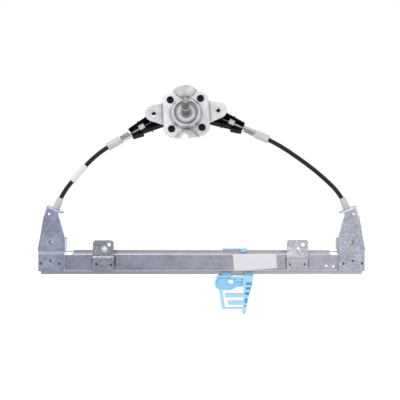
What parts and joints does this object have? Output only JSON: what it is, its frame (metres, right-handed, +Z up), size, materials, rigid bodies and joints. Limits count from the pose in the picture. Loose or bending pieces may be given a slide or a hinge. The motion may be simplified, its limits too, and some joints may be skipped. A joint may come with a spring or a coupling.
{
  "type": "window regulator",
  "caption": "Manual cable window regulator: a pressed rail with end pulleys, a sliding glass clip hauled by two conduit cables, and a crank drive with a braked drum.",
  "frame": {"origin": "midway between the two fixing holes of the rail's tabs, in the front plane of the tabs", "axes": "+X along the rail to the right as seen from the crank, +Z up towards the crank drive, -Y out of the door towards whoever turns the crank"},
  "size_m": [0.4584, 0.0853, 0.3205],
  "materials": {
    "rail_steel": "galvanised pressed steel, spangled",
    "bracket_steel_left": "galvanised pressed steel, darker",
    "bracket_steel": "galvanised pressed steel",
    "rivet_steel": "bright plated",
    "cover_metal": "satin cast",
    "spindle_steel": "turned",
    "bush_metal": "plain",
    "spring_steel": "phosphated",
    "black_steel": "black, semi-gloss",
    "black_plastic": "moulded",
    "white_plastic": "moulded, natural",
    "blue_plastic": "translucent light blue",
    "cable_steel": "stranded wire"
  },
  "bodies": {
    "root": {"guide_rail": "rail_steel", "drive_cover": "cover_metal", "ear_inserts": "rivet_steel", "cover_screws": "black_steel", "drum_housing": "black_plastic", "spindle_bush": "bush_metal", "brake_spring": "spring_steel", "end_bracket_left": "bracket_steel_left", "end_bracket_right": "bracket_steel", "mounting_bracket_left": "bracket_steel", "mounting_bracket_right": "bracket_steel", "tab_insert_left": "bracket_steel", "tab_insert_right": "bracket_steel", "pulley_rivet_left": "rivet_steel", "pulley_rivet_right": "rivet_steel", "end_ferrule_left": "white_plastic", "end_ferrule_right": "white_plastic", "conduit_left": "black_plastic", "conduit_right": "black_plastic", "cable_left": "cable_steel", "cable_right": "cable_steel", "spring_washer_left": "rivet_steel", "spring_washer_right": "rivet_steel", "tension_spring_left": "spring_steel", "tension_spring_right": "spring_steel"},
    "crank_drum": {"cable_drum": "white_plastic", "cable_turns_front": "cable_steel", "cable_turns_rear": "cable_steel", "crank_spindle": "spindle_steel", "brake_hub": "spindle_steel", "retaining_ring": "spindle_steel"},
    "slider": {"slider": "blue_plastic", "slider_nipple_left": "rivet_steel", "slider_nipple_right": "rivet_steel"},
    "pulley_left": {"pulley_left": "white_plastic"},
    "pulley_right": {"pulley_right": "white_plastic"},
    "tensioner_left": {"tensioner_left": "white_plastic"},
    "tensioner_right": {"tensioner_right": "white_plastic"}
  },
  "joints": [
    {"name": "crank_turn", "type": "hinge", "parent": "root", "child": "crank_drum", "pos_m": [-0.0213, -0.004, 0.188], "axis": [0, -0.9781, 0.2079], "range_deg": [-572.96, 309.4]},
    {"name": "slider_travel", "type": "slide", "parent": "root", "child": "slider", "axis": [1, 0, 0], "range_m": [-0.2005, 0.1085]},
    {"name": "pulley_turn_left", "type": "hinge", "parent": "root", "child": "pulley_left", "pos_m": [-0.2102, 0.0164, 0.0088], "axis": [0, -1, 0], "range_deg": [-869.1, 469.8]},
    {"name": "pulley_turn_right", "type": "hinge", "parent": "root", "child": "pulley_right", "pos_m": [0.2102, 0.0164, 0.0088], "axis": [0, -1, 0], "range_deg": [-869.1, 469.8]},
    {"name": "tensioner_slide_left", "type": "slide", "parent": "root", "child": "tensioner_left", "axis": [0.8554, 0.1077, 0.5067], "range_m": [0, 0.004], "stiffness_N_per_m": 1500, "springref_m": -0.004, "deforming": ["tension_spring_left"]},
    {"name": "tensioner_slide_right", "type": "slide", "parent": "root", "child": "tensioner_right", "axis": [-0.9048, 0.0885, 0.4165], "range_m": [0, 0.004], "stiffness_N_per_m": 1500, "springref_m": -0.004, "deforming": ["tension_spring_right"]}
  ],
  "couplings": [
    {"joint": "slider_travel", "follows": "crank_turn", "m_per_rad": 0.02},
    {"joint": "pulley_turn_left", "follows": "crank_turn", "ratio": 1.5152},
    {"joint": "pulley_turn_right", "follows": "crank_turn", "ratio": 1.5152}
  ]
}
